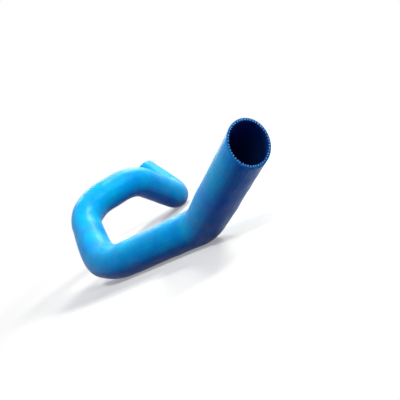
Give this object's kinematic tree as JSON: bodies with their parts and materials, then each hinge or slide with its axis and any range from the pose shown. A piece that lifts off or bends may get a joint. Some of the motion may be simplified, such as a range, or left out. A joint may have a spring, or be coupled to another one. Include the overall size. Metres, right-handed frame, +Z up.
{
  "type": "radiator hose",
  "caption": "Moulded reinforced silicone coolant hose, one plain tube with several bends between two open clamp-on ends.",
  "frame": {"origin": "centre of the hose's outline seen from above, on the surface that it lies on", "axes": "+Z up as the hose lies at rest, +Y along its longest way, with the slanted near mouth towards -Y and the square far mouth towards +Y"},
  "size_m": [0.2404, 0.6892, 0.1326],
  "materials": {
    "blue_silicone": "satin azure silicone, slightly glossy, with a darker bore"
  },
  "bodies": {
    "root": {"radiator_hose": "blue_silicone"}
  },
  "joints": []
}
